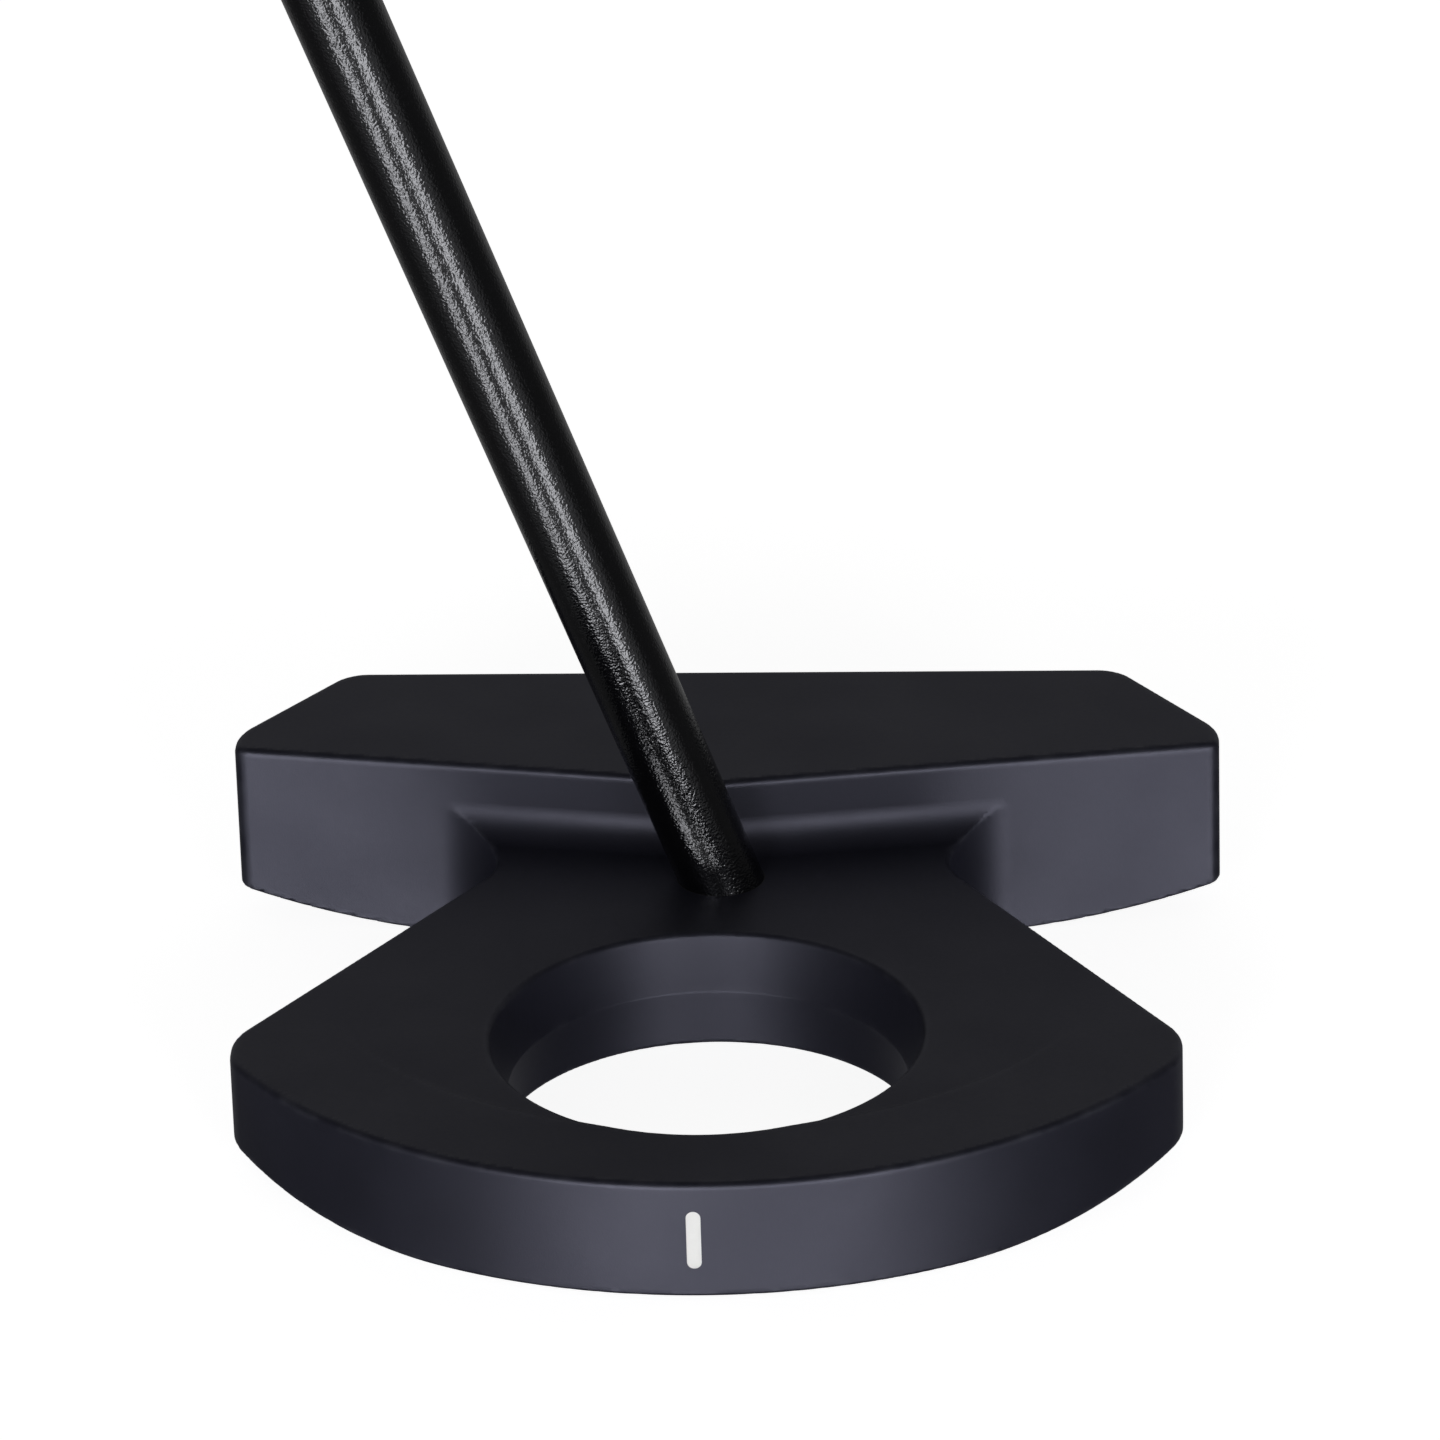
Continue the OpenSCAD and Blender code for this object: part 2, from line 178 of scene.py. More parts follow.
def deck_height(x, y):
    """Height of the rear body's top: a round flat area, a ramp, then a slight rise to the back."""
    slope = DECK_RISE / (BACK_CENTRE + BACK_R - DECK_CREASE)
    rising = slope * (-y - DECK_CREASE)
    ramp = RAMP_SLOPE * (np.hypot(x, y + BACK_CENTRE) - FLAT_R)
    return DECK + soft_max(0, -soft_max(-rising, -ramp))


def bar_rear(x, y):
    """Distance behind the bar's V-shaped rear wall."""
    angle = math.atan(VEE / BAR_HALF)
    apex = FACE_Y - BEVEL_DEPTH - END_DEPTH - VEE
    return (apex + x * math.tan(angle) - y) * math.cos(angle)


def bar_distance(x, y, z):
    """The bar: its face, end bevels, flat ends, V-shaped rear wall and top."""
    out = (y - FACE_Y) * math.cos(LOFT) + (z - BAR_TOP) * math.sin(LOFT)
    end = x - BAR_HALF
    run = BAR_HALF - FACE_HALF
    length = math.hypot(run, BEVEL_DEPTH)
    bevel = ((x - FACE_HALF) * BEVEL_DEPTH + out * run) / length
    plan = meet(out, bevel, FRONT_CORNER_R, run / length)
    plan = meet(plan, end, BEVEL_CORNER_R, BEVEL_DEPTH / length)
    plan = meet(plan, bar_rear(x, y), REAR_CORNER_R, math.sin(math.atan(VEE / BAR_HALF)))
    return meet(plan, z - BAR_TOP, BAR_EDGE_R)


def neck_plan(x, y):
    """The rear body's outline with its notch fillets, run on into the bar."""
    side_length = math.hypot(NECK_SLOPE, 1)
    side = (NECK_SLOPE * x + y - NECK_APEX_Y) / side_length
    back = np.hypot(x, y + BACK_CENTRE) - BACK_R
    outline = meet(side, x - WING_HALF, WING_CORNER_R, NECK_SLOPE / side_length)
    outline = meet(outline, back, WING_CORNER_R, WING_HALF / BACK_R)
    wall = math.atan(VEE / BAR_HALF)
    notch_cos = (NECK_SLOPE * math.sin(wall) - math.cos(wall)) / side_length
    behind_wall = np.maximum(bar_rear(x, y), x - NOTCH_END_X)
    return np.maximum(join(outline, behind_wall, NOTCH_R, notch_cos), y - NECK_FRONT_Y)


def hole_wall(x, y, z):
    """Distance into the hole from its hourglass wall."""
    reach = np.hypot(x, y + HOLE_CENTRE)
    up = (HOLE_DECK_R - HOLE_WAIST_R) / (DECK - HOLE_WAIST_Z)
    down = (HOLE_SOLE_R - HOLE_WAIST_R) / HOLE_WAIST_Z
    upper = (HOLE_WAIST_R + up * (z - HOLE_WAIST_Z) - reach) * math.cos(math.atan(up))
    lower = (HOLE_WAIST_R - down * (z - HOLE_WAIST_Z) - reach) * math.cos(math.atan(down))
    return meet(upper, lower, WAIST_EDGE_R, math.cos(math.atan(up) + math.atan(down)))


def rear_distance(x, y, z):
    """The rear body: neck, wings, deck and hole, with the cove that leads up to the bar's wall."""
    cove = join(bar_rear(x, y), z - deck_height(x, y), COVE_R)
    top = np.maximum(cove, z - (BAR_TOP - 3))
    edge_r = np.interp(bar_rear(x, y), [COVE_R - 1.5, COVE_R + 0.5], [COVE_EDGE_R, DECK_EDGE_R])
    body = meet(neck_plan(x, y), top, edge_r)
    return meet(body, hole_wall(x, y, z), HOLE_EDGE_R)


def head_distance(points):
    """Signed distance of the head before its pockets, bore and slot are cut."""
    x, y, z = np.abs(points[:, 0]), points[:, 1], points[:, 2]
    rear = rear_distance(x, y, z)
    bar = bar_distance(x, y, z)
    under = sole_height(x, y) - z
    return np.minimum(meet(bar, under, SOLE_EDGE_R), meet(rear, under, SOLE_EDGE_R))


def gradient(distance, points, step=0.01):
    """Outward direction of the surface at each point."""
    found = np.empty_like(points)
    for axis in range(3):
        shift = np.zeros(3)
        shift[axis] = step
        found[:, axis] = distance(points + shift) - distance(points - shift)
    return found / np.maximum(np.linalg.norm(found, axis=1, keepdims=True), 1e-9)


# ---------- meshes from distances ----------


def crossing_points(distance, low, axis, high, f_low):
    """Where the grid edges along axis, from the points low to the coordinates high, cross the surface."""
    near, far = low[:, axis].copy(), high.copy()
    spot = low.copy()
    for _ in range(5):
        spot[:, axis] = (near + far) / 2
        same_side = (distance(spot) < 0) == (f_low < 0)
        near = np.where(same_side, spot[:, axis], near)
        far = np.where(same_side, far, spot[:, axis])
    spot[:, axis] = (near + far) / 2
    return spot


def corner_points(distance, field, axes, cells, hold=0.05):
    """One point in each cell, where the tangent planes at its crossings best meet, to keep edges crisp."""
    total = len(cells)
    square, pull = np.zeros((total, 3, 3)), np.zeros((total, 3))
    middle, hits = np.zeros((total, 3)), np.zeros((total, 1))
    for axis, first, second in product(range(3), (0, 1), (0, 1)):
        offset = [first, second]
        offset.insert(axis, 0)
        start = cells + offset
        end = start + np.eye(3, dtype=int)[axis]
        f_low, f_high = field[tuple(start.T)], field[tuple(end.T)]
        hit = np.flatnonzero((f_low < 0) != (f_high < 0))
        low = np.stack([axes[k][start[hit, k]] for k in range(3)], 1)
        spot = crossing_points(distance, low, axis, axes[axis][end[hit, axis]], f_low[hit])
        normal = gradient(distance, spot)
        square[hit] += normal[:, :, None] * normal[:, None, :]
        pull[hit] += normal * (normal * spot).sum(1, keepdims=True)
        middle[hit] += spot
        hits[hit] += 1
    middle /= hits
    found = np.linalg.solve(square + hold * np.eye(3), (pull + hold * middle)[..., None])[..., 0]
    lowest = np.stack([axes[k][cells[:, k]] for k in range(3)], 1)
    highest = np.stack([axes[k][cells[:, k] + 1] for k in range(3)], 1)
    return np.clip(found, lowest, highest)


def surface_net(distance, axes):
    """Points and quads of the surface where distance is zero: one point in each grid cell that it crosses."""
    grid = np.stack(np.meshgrid(*axes, indexing="ij"), -1)
    field = distance(grid.reshape(-1, 3)).reshape(grid.shape[:3])
    inside = field < 0
    count = [n - 1 for n in field.shape]
    filled = sum(
        inside[a : a + count[0], b : b + count[1], c : c + count[2]].astype(np.int8)
        for a, b, c in product((0, 1), repeat=3)
    )
    active = (filled > 0) & (filled < 8)
    cells = np.argwhere(active)
    number = np.full(active.shape, -1)
    number[active] = np.arange(len(cells))
    quads = []
    for axis in range(3):
        low, high = [slice(1, -1)] * 3, [slice(1, -1)] * 3
        low[axis], high[axis] = slice(None, -1), slice(1, None)
        here, there = inside[tuple(low)], inside[tuple(high)]
        step = [1, 1, 1]
        step[axis] = 0
        side_u, side_v = np.eye(3, dtype=int)[(axis + 1) % 3], np.eye(3, dtype=int)[(axis + 2) % 3]
        for changed, outward in ((here & ~there, True), (~here & there, False)):
            edge = np.argwhere(changed) + step
            ring = [edge - side_u - side_v, edge - side_v, edge, edge - side_u]
            quad = np.stack([number[tuple(c.T)] for c in ring], 1)
            quads.append(quad if outward else quad[:, ::-1])
    return corner_points(distance, field, axes, cells), np.concatenate(quads)


def on_surface(distance, points, rounds=6):
    """points moved onto the surface along its own direction."""
    for _ in range(rounds):
        points = points - gradient(distance, points) * distance(points)[:, None]
    return points


def stepped(*stops):
    """Grid lines from (start, spacing) pairs; the last stop is the end."""
    lines = [
        np.linspace(a, b, max(int(round((b - a) / step)), 1), endpoint=False)
        for (a, step), (b, _) in zip(stops, stops[1:])
    ]
    return np.concatenate([*lines, [stops[-1][0]]])


# ---------- mesh helpers ----------


def build(name, points, faces):
    """A mesh object from points in millimetres."""
    mesh = bpy.data.meshes.new(name)
    mesh.from_pydata((np.asarray(points) * MM).tolist(), [], [list(map(int, f)) for f in faces])
    mesh.update()
    obj = bpy.data.objects.new(name, mesh)
    bpy.context.scene.collection.objects.link(obj)
    return obj


def merged(parts):
    """Several (points, faces) pairs as one."""
    points, faces, start = [], [], 0
    for part_points, part_faces in parts:
        points.append(np.asarray(part_points, float))
        faces += [[start + i for i in face] for face in part_faces]
        start += len(part_points)
    return np.concatenate(points), faces


def loft(rings, closed=False):
    """Points and faces through rings of equal length; the ends are capped, or joined together if closed."""
    rings = np.asarray(rings, float)
    rows, n = rings.shape[:2]
    following = [(i + 1) % n for i in range(n)]
    faces = [
        (a * n + i, a * n + following[i], (a + 1) % rows * n + following[i], (a + 1) % rows * n + i)
        for a in range(rows if closed else rows - 1)
        for i in range(n)
    ]
    points = rings.reshape(-1, 3)
    if closed:
        return points, faces
    points = np.concatenate([points, [rings[0].mean(0)], [rings[-1].mean(0)]])
    first, last = rows * n, rows * n + 1
    faces += [(following[i], i, first) for i in range(n)]
    faces += [((rows - 1) * n + i, (rows - 1) * n + following[i], last) for i in range(n)]
    return points, faces


def circle(radius, n=96):
    """The outline of a circle, anticlockwise from +X."""
    angle = np.arange(n) * 2 * np.pi / n
    return np.stack([radius * np.cos(angle), radius * np.sin(angle)], 1)


def lifted(outline, height):
    """A flat outline as points at one height."""
    return np.column_stack([outline, np.full(len(outline), height)])


def rounded_rectangle(half, radius, per_corner=12):
    """A rectangle's outline with round corners, anticlockwise."""
    points = []
    for quarter, (sx, sy) in enumerate(((1, 1), (-1, 1), (-1, -1), (1, -1))):
        centre = np.array([sx * (half[0] - radius), sy * (half[1] - radius)])
        for i in range(per_corner + 1):
            angle = (quarter + i / per_corner) * np.pi / 2
            points.append(centre + radius * np.array([math.cos(angle), math.sin(angle)]))
    return np.array(points)


def smooth(obj, angle=32):
    """Smooth shading that keeps edges sharper than angle, in degrees."""
    obj.data.shade_smooth()
    obj.data.set_sharp_from_angle(angle=math.radians(angle))


def finish_piece(obj, node, material):
    """Gives obj its material, and has it ride on the root in place of its CAD node."""
    obj.data.materials.clear()
    obj.data.materials.append(material)
    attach(obj, "root")
    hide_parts(node)
    return obj


# ---------- frames along the shaft and on the face ----------


def along_shaft(points):
    """Points in the shaft's frame, whose Z runs up its axis from the deck."""
    x, y, s = np.asarray(points, float).T
    sideways = x * math.cos(LEAN) - s * math.sin(LEAN)
    height = DECK + x * math.sin(LEAN) + s * math.cos(LEAN)
    return np.stack([sideways, y, height], 1)


def on_face(points):
    """Points given as (across, up from the insert's middle, out of the face)."""
    x, up, out = np.asarray(points, float).T
    up = up - BAR_TOP / 2
    y = FACE_Y + out * math.cos(LOFT) - up * math.sin(LOFT)
    z = BAR_TOP + out * math.sin(LOFT) + up * math.cos(LOFT)
    return np.stack([x, y, z], 1)


def on_back(points):
    """Points given as (across, up, depth below the back wall)."""
    x, up, depth = np.asarray(points, float).T
    reach = BACK_R - depth
    return np.stack([x, -BACK_CENTRE - np.sqrt(reach**2 - x**2), MARK_Z + up], 1)


# ---------- head ----------


def mark_outline():
    """The sight line seen from behind: upright, with round ends."""
    return rounded_rectangle(MARK_HALF, MARK_HALF[0] - 0.01)


def head_cutters():
    """Everything that is cut out of the head: pockets, shaft bore and the sight line's slot."""
    parts = []
    for (x, y, _, top), side in product(WEIGHTS, (1, -1)):
        outline = circle(WEIGHT_R + WEIGHT_GAP) + [side * x, y]
        parts.append(loft([lifted(outline, -1), lifted(outline, top)]))
    bore = circle(BORE_R)
    points, faces = loft([lifted(bore, -BORE_DEPTH), lifted(bore, 2 * COVE_R)])
    parts.append((along_shaft(points), faces))
    half = [h + INSERT_SEAM for h in INSERT_HALF]
    outline = rounded_rectangle(half, INSERT_CORNER_R + INSERT_SEAM)
    points, faces = loft([lifted(outline, -INSERT_T - INSERT_TAPE_T), lifted(outline, 1)])
    parts.append((on_face(points), [f[::-1] for f in faces]))
    outline = mark_outline()
    points, faces = loft([lifted(outline, -1), lifted(outline, MARK_DEPTH)])
    parts.append((on_back(points), [f[::-1] for f in faces]))
    return merged(parts)


def cut(obj, cutter):
    """obj without cutter, which is removed."""
    modifier = obj.modifiers.new("cut", "BOOLEAN")
    modifier.operation = "DIFFERENCE"
    modifier.solver = "MANIFOLD"
    modifier.object = cutter
    result = bpy.data.meshes.new_from_object(obj.evaluated_get(bpy.context.evaluated_depsgraph_get()))
    obj.modifiers.clear()
    obj.data = result
    bpy.data.objects.remove(cutter)


def set_true_normals(mesh, points, tolerance=0.03, edge_angle=9):
    """The distance's own normals on the head's surface, taken a little inside each face along its edges."""
    centres = np.array([p.center for p in mesh.polygons]) / MM
    own_face = np.abs(head_distance(centres)) < tolerance
    counts = [p.loop_total for p in mesh.polygons]
    own_corner = np.repeat(own_face, counts)
    corner_point = np.array([loop.vertex_index for loop in mesh.loops])[own_corner]
    corner_centre = np.repeat(centres, counts, axis=0)[own_corner]
    normals = np.array([n.vector for n in mesh.corner_normals])
    true = gradient(head_distance, points)[corner_point]
    inward = gradient(head_distance, points[corner_point] * 0.6 + corner_centre * 0.4)
    at_edge = (true * inward).sum(1) < math.cos(math.radians(edge_angle))
    normals[own_corner] = np.where(at_edge[:, None], inward, true)
    mesh.normals_split_custom_set(normals.tolist())


def mark_edges(mesh, points, reach=0.45, gain=0.9):
    """An "edge" value from 0 to 1, high where the surface bends outward within reach millimetres."""
    steps = [np.eye(3)[axis] * side * reach for axis in range(3) for side in (1, -1)]
    around = sum(head_distance(points + step) for step in steps)
    bend = (around - 6 * head_distance(points)) / reach**2
    edge = mesh.attributes.new("edge", "FLOAT", "POINT")
    edge.data.foreach_set("value", np.clip(bend * gain, 0, 1).astype(np.float32))


def make_head():
    """The machined body in one mesh, on a grid that is finer where the coves and rounded edges lie."""
    axes = [
        np.linspace(-57.6, 57.6, 193),
        np.linspace(-74.7, 38.7, 190),
        stepped((-0.45, 0.45), (5.4, 0.6), (12.6, 0.3), (15.0, 0.6), (20.7, 0.3), (22.8, 0.3)),
    ]
    points, quads = surface_net(head_distance, axes)
    head = build("head", on_surface(head_distance, points), quads)
    cut(head, build("cutter", *head_cutters()))
    smooth(head)
    points = np.array([v.co for v in head.data.vertices]) / MM
    set_true_normals(head.data, points)
    mark_edges(head.data, points)
    return head


def insert_relief(x, z):
    """Height of the plate's front: level grooves inside a plain rim, and a bevel round its edge."""
    pitch, groove_depth, rim, bevel = 0.85, 0.14, 0.9, 0.22
    over_x = np.maximum(np.abs(x) - INSERT_HALF[0] + INSERT_CORNER_R, 0)
    over_z = np.maximum(np.abs(z) - INSERT_HALF[1] + INSERT_CORNER_R, 0)
    inside = np.minimum(
        INSERT_CORNER_R - np.hypot(over_x, over_z),
        np.minimum(INSERT_HALF[0] - np.abs(x), INSERT_HALF[1] - np.abs(z)),
    )
    groove = np.clip((0.5 - 0.5 * np.cos(2 * np.pi * z / pitch)) * 1.6 - 0.3, 0, 1)
    fade = np.clip((inside - rim) / 0.3, 0, 1)
    return -groove_depth * groove * fade - np.clip(bevel - inside, 0, bevel)


def make_insert():
    """The milled plate in the face, as rows of points that follow its round corners."""
    half_x, half_z = INSERT_HALF
    near_edge = np.array([0, 0.07, 0.15, 0.22])
    inner = np.linspace(-half_z + 0.3, half_z - 0.3, 121)
    rows = np.concatenate([-half_z + near_edge, inner, half_z - near_edge[::-1]])
    over_corner = np.maximum(np.abs(rows) - half_z + INSERT_CORNER_R, 0)
    reach = half_x - INSERT_CORNER_R + np.sqrt(INSERT_CORNER_R**2 - over_corner**2)
    across = np.linspace(-1, 1, 121)
    x = reach[:, None] * np.sign(across) * (1 - (1 - np.abs(across)) ** 1.15)
    z = np.broadcast_to(rows[:, None], x.shape)
    front = on_face(np.stack([x.ravel(), z.ravel(), insert_relief(x, z).ravel()], 1))
    back = on_face(np.stack([x.ravel(), z.ravel(), np.full(x.size, -INSERT_T)], 1))
    index = np.arange(x.size).reshape(x.shape)
    tiles = np.stack([index[:-1, :-1], index[:-1, 1:], index[1:, 1:], index[1:, :-1]], -1).reshape(-1, 4)
    rim_loop = np.concatenate([index[0, :], index[1:, -1], index[-1, -2::-1], index[-2:0:-1, 0]])
    side = [(a, b, b + x.size, a + x.size) for a, b in zip(rim_loop, np.roll(rim_loop, -1))]
    faces = [f[::-1] for f in tiles] + [tuple(f + x.size) for f in tiles] + side
    obj = build("face_plate", np.concatenate([front, back]), faces)
    smooth(obj, 40)
    return obj


def make_mark():
    """White paint that fills the engraved sight line, a little below the wall and slightly hollow."""
    outline = mark_outline()
    steps = ((1, MARK_DEPTH), (1, 0.06), (0.94, 0.07), (0.6, 0.1))
    points, faces = loft([lifted(outline * grow, depth) for grow, depth in steps])
    obj = build("sight_line", on_back(points), faces)
    smooth(obj)
    return obj


def plug_mesh(low, high):
    """A threaded weight: from the drill point up its hexagonal socket, out to the rim and up the thread."""
    n = 96
    angle = np.arange(n) * 2 * np.pi / n
    hexagon = SOCKET_FLAT / 2 / np.cos((angle + np.pi / 6) % (np.pi / 3) - np.pi / 6)
    hex_outline = np.stack([hexagon * np.cos(angle), hexagon * np.sin(angle)], 1)
    profile = [
        lifted(circle(1.9, n) * 0.02, low + SOCKET_DEPTH + 0.7),
        lifted(circle(2.3, n), low + SOCKET_DEPTH),
        lifted(hex_outline, low + SOCKET_DEPTH),
        lifted(hex_outline, low + 0.35),
        lifted(circle(3.15, n), low),
        lifted(circle(4.0, n), low),
        lifted(circle(4.15, n), low + 0.12),
        lifted(circle(4.45, n), low + 0.12),
        lifted(circle(4.6, n), low),
        lifted(circle(WEIGHT_R - WEIGHT_CHAMFER, n), low),
        lifted(circle(WEIGHT_R, n), low + WEIGHT_CHAMFER),
        lifted(circle(WEIGHT_R, n), low + WEIGHT_CHAMFER + 0.8),
    ]
    pitch, thread_depth = 0.8, 0.35
    for z in np.arange(low + WEIGHT_CHAMFER + 0.8 + pitch, high - pitch, pitch):
        profile.append(lifted(circle(WEIGHT_R - thread_depth, n), z - pitch / 2))
        profile.append(lifted(circle(WEIGHT_R, n), z))
    profile.append(lifted(circle(WEIGHT_R - 0.6, n), high))
    return loft(profile)


def make_plug(index, side):
    """One weight and its node's name, on the toe side for 1 and the heel side for -1."""
    x, y, low, high = WEIGHTS[index]
    points, faces = plug_mesh(low, high)
    name = ("toe" if side > 0 else "heel") + f"_{index + 1}"
    obj = build("plug_" + name, points + [side * x, y, 0], faces)
    smooth(obj, 28)
    reach = obj.data.attributes.new("reach", "FLOAT", "POINT")
    reach.data.foreach_set("value", np.hypot(points[:, 0], points[:, 1]).astype(np.float32))
    return obj, "weight_" + name


# ---------- shaft ----------


def shaft_r(s):
    """Outer radius of the shaft."""
    return (SHAFT_TIP_D + SHAFT_TAPER * (s - SHAFT_TIP_S)) / 2


def make_shaft():
    """The tapered tube, with its bore, its tip edge broken and rings close enough for an even surface."""
    n, edge = 128, 0.15
    stations = np.linspace(SHAFT_TIP_S + edge, SHAFT_BUTT_S - edge, 84)
    rings = [lifted(circle(shaft_r(SHAFT_TIP_S) - edge, n), SHAFT_TIP_S)]
    rings += [lifted(circle(shaft_r(s), n), s) for s in stations]
    rings += [lifted(circle(shaft_r(SHAFT_BUTT_S) - edge, n), SHAFT_BUTT_S)]
    for s in (SHAFT_BUTT_S, SHAFT_TIP_S):
        share = (s - SHAFT_TIP_S) / (SHAFT_BUTT_S - SHAFT_TIP_S)
        wall = SHAFT_WALLS[0] + (SHAFT_WALLS[1] - SHAFT_WALLS[0]) * share
        rings.append(lifted(circle(shaft_r(s) - wall, n), s))
    points, faces = loft(rings, closed=True)
    obj = build("shaft_tube", along_shaft(points), faces)
    smooth(obj)
    return obj


# ---------- grip ----------


def grip_width(s):
    """Width of the grip across the target line."""
    stops, widths = zip(*GRIP_WIDTHS)
    return float(np.interp(s - GRIP_MOUTH_S, stops, widths))


def grip_outline(width, inset=0.0, n=96):
    """The grip's section, flat towards +X and round behind, as n evenly spaced points from +X."""
    depth = width * GRIP_DEPTH_SHARE
    corner = (depth / 2 - GRIP_CORNER_R, width / 2 - GRIP_CORNER_R)
    discs = [
        (np.array([corner[0], corner[1]]), GRIP_CORNER_R - inset),
        (np.array([corner[0], -corner[1]]), GRIP_CORNER_R - inset),
        (np.array([(width - depth) / 2, 0]), width / 2 - inset),
    ]
    angle = np.linspace(0, 2 * np.pi, 721)
    facing = np.stack([np.cos(angle), np.sin(angle)], 1)
    supports = np.stack([facing @ centre + radius for centre, radius in discs])
    chosen = supports.argmax(0)
    outline = np.array([discs[k][0] + discs[k][1] * d for k, d in zip(chosen, facing)])
    start = [depth / 2 - inset, 0]
    outline = np.concatenate([[start], outline[1:-1], [start]])
    run = np.concatenate([[0], np.cumsum(np.linalg.norm(np.diff(outline, axis=0), axis=1))])
    spots = np.arange(n) * run[-1] / n
    return np.stack([np.interp(spots, run, outline[:, k]) for k in (0, 1)], 1)


def make_skin():
    """The grip's skin: short level grooves down its flat front, a seam down its back, rolled ends."""
    n, roll = 120, 1.0
    length = SHAFT_BUTT_S - GRIP_MOUTH_S
    groove_pitch, groove_depth, groove_half_share, seam_depth = 3.6, 0.4, 0.115, 0.35
    first_groove, last_groove = 26, length - 24
    share = np.arange(n) / n
    from_front = np.minimum(share, 1 - share)
    rolled_end = np.array([0, 0.3, 0.7])
    stations = [rolled_end, np.linspace(roll, length - roll, 430), length - rolled_end[::-1]]
    rings = []
    for t in np.concatenate(stations):
        width = grip_width(GRIP_MOUTH_S + t)
        outline = grip_outline(width, n=n)
        centre = outline.mean(0)
        to_end = min(t, length - t)
        depth = np.full(n, roll - math.sqrt(max(roll**2 - max(roll - to_end, 0) ** 2, 0)))
        if first_groove < t < last_groove:
            phase = (t - first_groove) / groove_pitch
            groove = np.clip(0.5 - 0.9 * math.cos(2 * math.pi * phase), 0, 1)
            depth += groove_depth * groove * np.clip((groove_half_share - from_front) * 60, 0, 1)
        depth += seam_depth * np.exp(-(((from_front - 0.5) * n / 0.9) ** 2))
        inward = centre - outline
        inward /= np.linalg.norm(inward, axis=1, keepdims=True)
        rings.append(lifted(outline + inward * depth[:, None], GRIP_MOUTH_S + t))
    for t in (length, length / 2, GRIP_WIDTHS[1][0], 0):
        rings.append(lifted(grip_outline(grip_width(GRIP_MOUTH_S + t), SKIN_T, n), GRIP_MOUTH_S + t))
    points, faces = loft(rings, closed=True)
    obj = build("grip_cover", along_shaft(points), faces)
    smooth(obj, 60)
    return obj


def make_collar():
    """The ring at the grip's mouth, from round on the shaft to the grip's own section, with two grooves."""
    n = 96
    start = GRIP_MOUTH_S - COLLAR_LENGTH
    small = circle(shaft_r(GRIP_MOUTH_S) + 1.5, n)
    large = grip_outline(grip_width(GRIP_MOUTH_S), n=n)
    rings = []
    for t in np.linspace(0, 1, 36):
        groove = 0.3 * sum(math.exp(-(((t - spot) / 0.045) ** 2)) for spot in (0.38, 0.62))
        lip = 0.45 * (math.exp(-t / 0.04) + math.exp(-(1 - t) / 0.03))
        outline = small + (large - small) * t
        shrink = 1 - (groove + lip) / np.linalg.norm(outline, axis=1, keepdims=True)
        rings.append(lifted(outline * shrink, start + t * COLLAR_LENGTH))
    rings += [lifted(circle(shaft_r(s) + 0.03, n), s) for s in (GRIP_MOUTH_S, start)]
    points, faces = loft(rings, closed=True)
    obj = build("grip_mouth_ring", along_shaft(points), faces)
    smooth(obj, 50)
    return obj


def make_cap():
    """The butt cap: rounded rim, shallow dish round the vent, and the stem inside the shaft."""
    n = 96
    width = grip_width(SHAFT_BUTT_S)
    stem_s = SHAFT_BUTT_S - CAP_STEM
    stem_r = shaft_r(stem_s) - SHAFT_WALLS[1] - 0.15
    rings = [lifted(circle(stem_r - 0.4, n), stem_s), lifted(circle(stem_r, n), stem_s + 0.4)]
    rings += [lifted(circle(stem_r, n), SHAFT_BUTT_S), lifted(grip_outline(width, 0.5, n), SHAFT_BUTT_S)]
    for inset, height in CAP_SIDE:
        rings.append(lifted(grip_outline(width, inset, n), SHAFT_BUTT_S + height))
    top = SHAFT_BUTT_S + CAP_T
    for inset, depth in CAP_DISH:
        rings.append(lifted(grip_outline(width, 0, n) * (1 - inset / (width / 2)), top - depth))
    rings += [lifted(circle(CAP_VENT_R + r, n), top - depth) for r, depth in CAP_VENT_RIM]
    rings.append(lifted(circle(CAP_VENT_R, n), stem_s))
    points, faces = loft(rings, closed=True)
    obj = build("grip_end_cap", along_shaft(points), faces)
    smooth(obj, 40)
    return obj


# ---------- materials ----------


